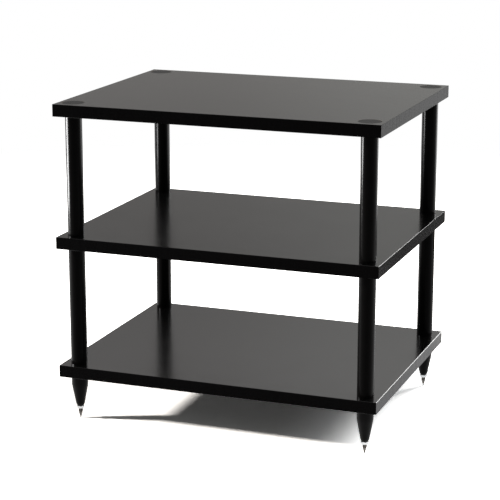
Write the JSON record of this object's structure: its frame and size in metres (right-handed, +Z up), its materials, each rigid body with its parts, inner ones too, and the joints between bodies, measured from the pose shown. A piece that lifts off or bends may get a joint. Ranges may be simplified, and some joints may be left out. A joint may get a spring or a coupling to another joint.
{
  "type": "audio equipment rack",
  "caption": "Open audio equipment rack: thin satin black shelf boards held apart by round steel posts, flat cap discs let in flush on top, tapered feet with lock nuts and screw-out levelling spikes.",
  "frame": {"origin": "on the floor plane that the four spike tips touch, below the middle of the rack", "axes": "+X along the boards to the right as seen from the front, +Y from the front to the back, +Z up"},
  "size_m": [0.6, 0.45, 0.586],
  "materials": {
    "board_facing": "satin black foil on fibreboard",
    "post_paint": "satin black powder coat",
    "cap_paint": "matt black paint",
    "foot_paint": "matt black paint",
    "zinced_steel": "zinc plated",
    "nut_chrome": "bright plated",
    "spike_chrome": "bright plated"
  },
  "bodies": {
    "rack": {"bottom_shelf": "board_facing", "middle_shelf": "board_facing", "top_shelf": "board_facing", "lower_post_front_left": "post_paint", "lower_post_front_right": "post_paint", "lower_post_rear_left": "post_paint", "lower_post_rear_right": "post_paint", "upper_post_front_left": "post_paint", "upper_post_front_right": "post_paint", "upper_post_rear_left": "post_paint", "upper_post_rear_right": "post_paint", "lower_post_front_left_bottom_plug": "zinced_steel", "lower_post_front_left_top_plug": "zinced_steel", "lower_post_front_right_bottom_plug": "zinced_steel", "lower_post_front_right_top_plug": "zinced_steel", "lower_post_rear_left_bottom_plug": "zinced_steel", "lower_post_rear_left_top_plug": "zinced_steel", "lower_post_rear_right_bottom_plug": "zinced_steel", "lower_post_rear_right_top_plug": "zinced_steel", "upper_post_front_left_bottom_plug": "zinced_steel", "upper_post_front_left_top_plug": "zinced_steel", "upper_post_front_right_bottom_plug": "zinced_steel", "upper_post_front_right_top_plug": "zinced_steel", "upper_post_rear_left_bottom_plug": "zinced_steel", "upper_post_rear_left_top_plug": "zinced_steel", "upper_post_rear_right_bottom_plug": "zinced_steel", "upper_post_rear_right_top_plug": "zinced_steel", "foot_stud_front_left": "zinced_steel", "foot_stud_front_right": "zinced_steel", "foot_stud_rear_left": "zinced_steel", "foot_stud_rear_right": "zinced_steel", "joining_stud_front_left": "zinced_steel", "joining_stud_front_right": "zinced_steel", "joining_stud_rear_left": "zinced_steel", "joining_stud_rear_right": "zinced_steel", "cap_disc_front_left": "cap_paint", "cap_disc_front_right": "cap_paint", "cap_disc_rear_left": "cap_paint", "cap_disc_rear_right": "cap_paint", "foot_front_left": "foot_paint", "foot_front_right": "foot_paint", "foot_rear_left": "foot_paint", "foot_rear_right": "foot_paint", "lock_nut_front_left": "nut_chrome", "lock_nut_front_right": "nut_chrome", "lock_nut_rear_left": "nut_chrome", "lock_nut_rear_right": "nut_chrome"},
    "levelling_spike_front_left": {"spike_front_left": "spike_chrome"},
    "levelling_spike_front_right": {"spike_front_right": "spike_chrome"},
    "levelling_spike_rear_left": {"spike_rear_left": "spike_chrome"},
    "levelling_spike_rear_right": {"spike_rear_right": "spike_chrome"}
  },
  "joints": [
    {"name": "level_front_left", "type": "slide", "parent": "rack", "child": "levelling_spike_front_left", "axis": [0, 0, -1], "range_m": [0, 0.01]},
    {"name": "level_front_right", "type": "slide", "parent": "rack", "child": "levelling_spike_front_right", "axis": [0, 0, -1], "range_m": [0, 0.01]},
    {"name": "level_rear_left", "type": "slide", "parent": "rack", "child": "levelling_spike_rear_left", "axis": [0, 0, -1], "range_m": [0, 0.01]},
    {"name": "level_rear_right", "type": "slide", "parent": "rack", "child": "levelling_spike_rear_right", "axis": [0, 0, -1], "range_m": [0, 0.01]}
  ]
}
